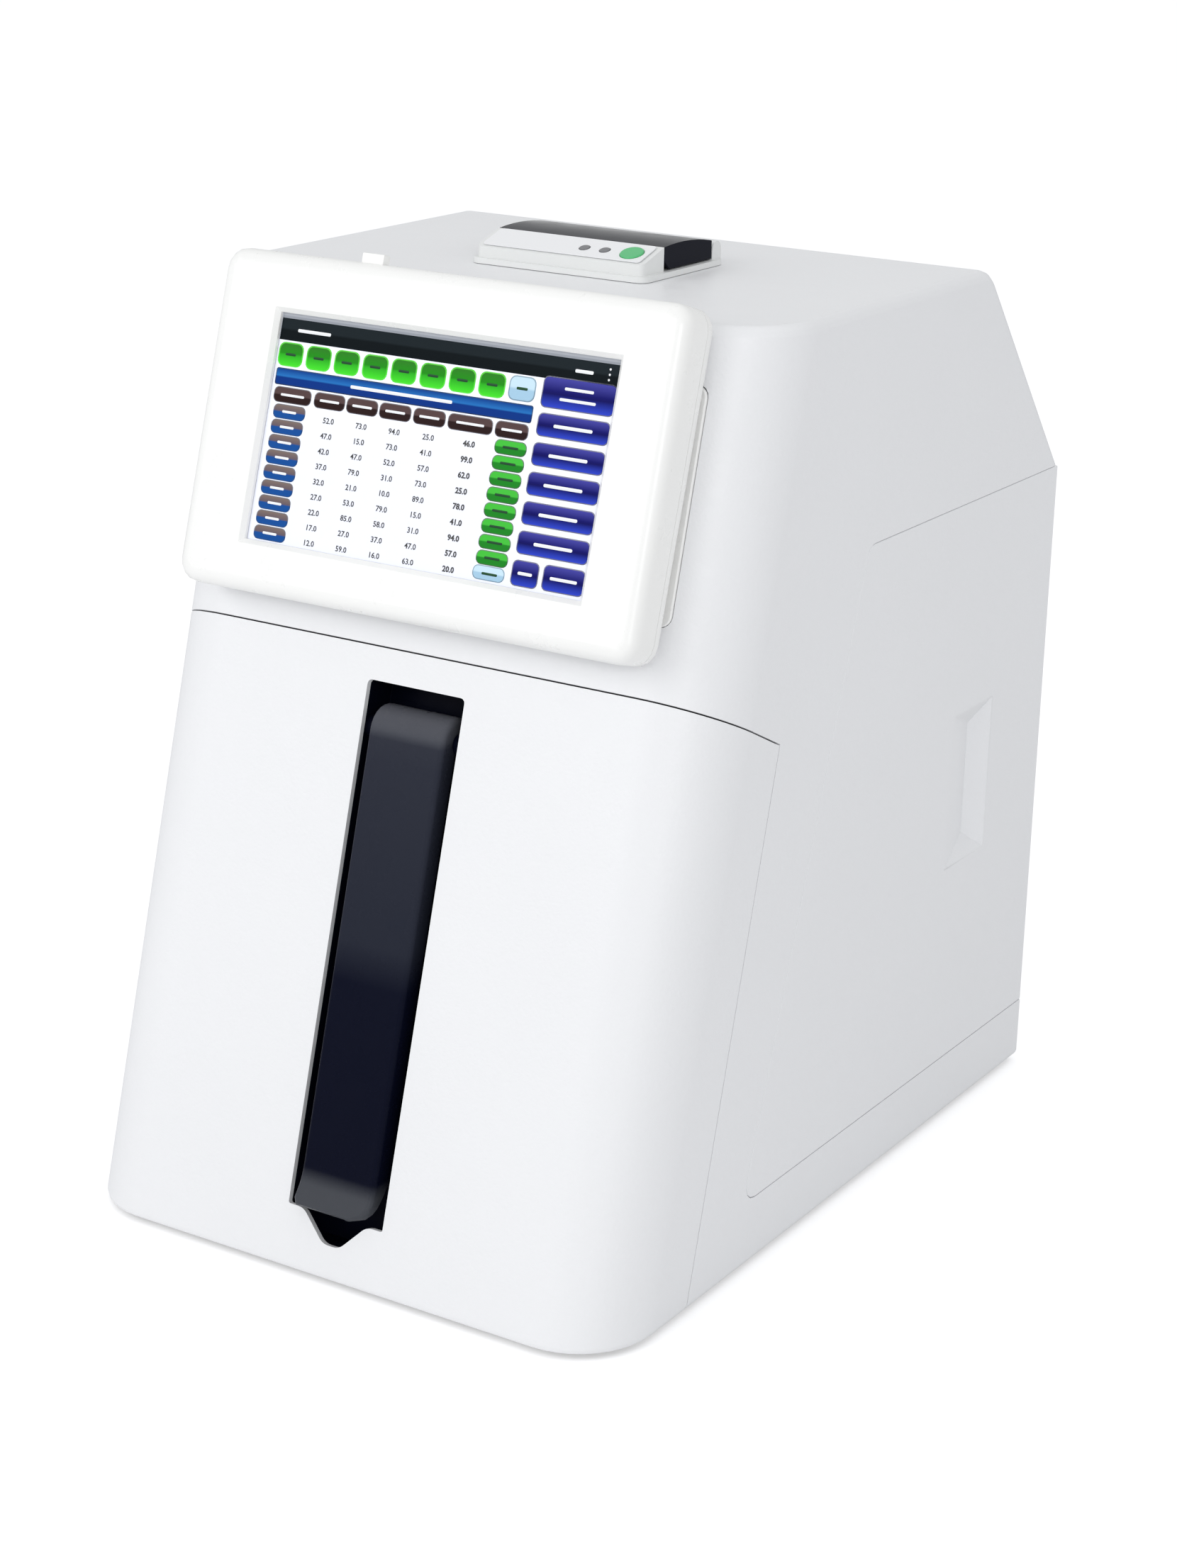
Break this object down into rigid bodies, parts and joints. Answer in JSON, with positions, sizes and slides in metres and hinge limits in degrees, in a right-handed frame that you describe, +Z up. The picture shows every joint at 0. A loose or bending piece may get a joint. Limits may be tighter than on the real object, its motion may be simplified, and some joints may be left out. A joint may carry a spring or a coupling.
{
  "type": "blood gas analyzer",
  "caption": "Bench-top blood gas analyzer with a tilted touch display, a drop-down front door, a hinged sampler flap, lift-off side panels and a built-in receipt printer.",
  "frame": {"origin": "centre of the bounding box at the level of the feet's undersides", "axes": "+Z up, +X to the right seen from the front, +Y towards the rear, the display faces -Y"},
  "size_m": [0.33, 0.4602, 0.4981],
  "materials": {
    "shell_white": "fine-grained satin",
    "bezel_white": "smooth satin",
    "gloss_black": "gloss",
    "steel": "ground",
    "sheet_steel": "zinc-plated sheet",
    "bracket_zinc": "cast, plain",
    "magnet_black": "satin case",
    "holder_grey": "satin",
    "screen_glass": "clear, smooth",
    "lcd_frame": "satin",
    "printer_white": "satin",
    "label_white": "satin film",
    "led_grey": "gloss",
    "feed_green": "satin",
    "smoked_cover": "gloss, smoked",
    "paper_white": "thermal paper",
    "rubber_black": "matt",
    "pack_white": "satin",
    "motor_grey": "satin",
    "rotor_blue": "satin",
    "silicone": "translucent",
    "acrylic": "polished block",
    "sensor_grey": "satin",
    "board_green": "solder mask",
    "rear_grey": "fine powder coat",
    "fan_black": "satin",
    "socket_black": "satin",
    "switch_black": "satin"
  },
  "bodies": {
    "cabinet": {"main_shell": "shell_white", "side_panel_left": "shell_white", "side_panel_right": "shell_white", "door_magnet_left": "magnet_black", "door_magnet_right": "magnet_black", "door_hinge_bracket_left": "bracket_zinc", "door_hinge_bracket_right": "bracket_zinc", "door_hinge_pin_left": "steel", "door_hinge_pin_right": "steel", "base_plate": "sheet_steel", "foot_front_left": "rubber_black", "foot_front_right": "rubber_black", "foot_rear_left": "rubber_black", "foot_rear_right": "rubber_black", "sampler_well": "gloss_black", "flap_pin": "steel", "probe_holder": "holder_grey", "bulkhead": "sheet_steel", "sampler_bracket": "sheet_steel", "display_bezel": "bezel_white", "display_case": "bezel_white", "touch_glass": "screen_glass", "lcd_module": "lcd_frame", "display_bracket": "sheet_steel", "printer_frame": "printer_white", "printer_label": "label_white", "power_led": "led_grey", "error_led": "led_grey", "cover_pin": "steel", "print_head": "holder_grey", "reagent_pack": "pack_white", "pump_housing": "holder_grey", "pump_motor": "motor_grey", "pump_tube": "silicone", "sensor_block": "acrylic", "sensor_1": "sensor_grey", "sensor_2": "sensor_grey", "sensor_3": "sensor_grey", "sensor_4": "sensor_grey", "sensor_5": "sensor_grey", "valve_block": "acrylic", "power_supply": "sheet_steel", "main_board": "board_green", "rear_panel": "rear_grey", "fan_frame": "fan_black", "mains_inlet": "socket_black", "port_block": "socket_black"},
    "door": {"front_door": "shell_white", "door_strike_left": "steel", "door_strike_right": "steel"},
    "flap": {"sampler_flap": "gloss_black"},
    "probe": {"sample_probe": "steel"},
    "display_key": {"display_key": "bezel_white"},
    "feed_button": {"feed_button": "feed_green"},
    "printer_cover": {"printer_cover": "smoked_cover"},
    "platen": {"platen_roller": "rubber_black"},
    "paper": {"paper_roll": "paper_white"},
    "pump_rotor": {"pump_rotor": "rotor_blue"},
    "fan_rotor": {"fan_rotor": "fan_black"},
    "rocker": {"power_rocker": "switch_black"}
  },
  "joints": [
    {"name": "door_swing", "type": "hinge", "parent": "cabinet", "child": "door", "pos_m": [0, -0.22138, 0.0135], "axis": [1, 0, 0], "range_deg": [0, 100]},
    {"name": "flap_swing", "type": "hinge", "parent": "cabinet", "child": "flap", "pos_m": [0, -0.15033, 0.26874], "axis": [-1, 0, 0], "range_deg": [0, 45]},
    {"name": "probe_travel", "type": "slide", "parent": "cabinet", "child": "probe", "axis": [0, -0.2554, -0.9668], "range_m": [0, 0.018]},
    {"name": "key_press", "type": "slide", "parent": "cabinet", "child": "display_key", "axis": [0, -0.2773, -0.9608], "range_m": [0, 0.001], "stiffness_N_per_m": 150, "springref_m": -0.001},
    {"name": "feed_press", "type": "slide", "parent": "cabinet", "child": "feed_button", "axis": [0, 0.3065, -0.9519], "range_m": [0, 0.0008], "stiffness_N_per_m": 150, "springref_m": -0.001},
    {"name": "cover_swing", "type": "hinge", "parent": "cabinet", "child": "printer_cover", "pos_m": [0, 0.04761, 0.4893], "axis": [-1, 0, 0], "range_deg": [0, 90]},
    {"name": "platen_spin", "type": "hinge", "parent": "cabinet", "child": "platen", "pos_m": [-0.004, -0.01179, 0.4748], "axis": [1, 0, 0], "continuous": true},
    {"name": "paper_spin", "type": "hinge", "parent": "cabinet", "child": "paper", "pos_m": [-0.004, 0.01811, 0.4546], "axis": [1, 0, 0], "continuous": true},
    {"name": "pump_spin", "type": "hinge", "parent": "cabinet", "child": "pump_rotor", "pos_m": [0.1, -0.044, 0.108], "axis": [0, 1, 0], "continuous": true},
    {"name": "fan_spin", "type": "hinge", "parent": "cabinet", "child": "fan_rotor", "pos_m": [0.085, 0.2135, 0.258], "axis": [0, 1, 0], "continuous": true},
    {"name": "rocker_tip", "type": "hinge", "parent": "cabinet", "child": "rocker", "pos_m": [-0.105, 0.21912, 0.0935], "axis": [1, 0, 0], "range_deg": [-16, 0]}
  ]
}
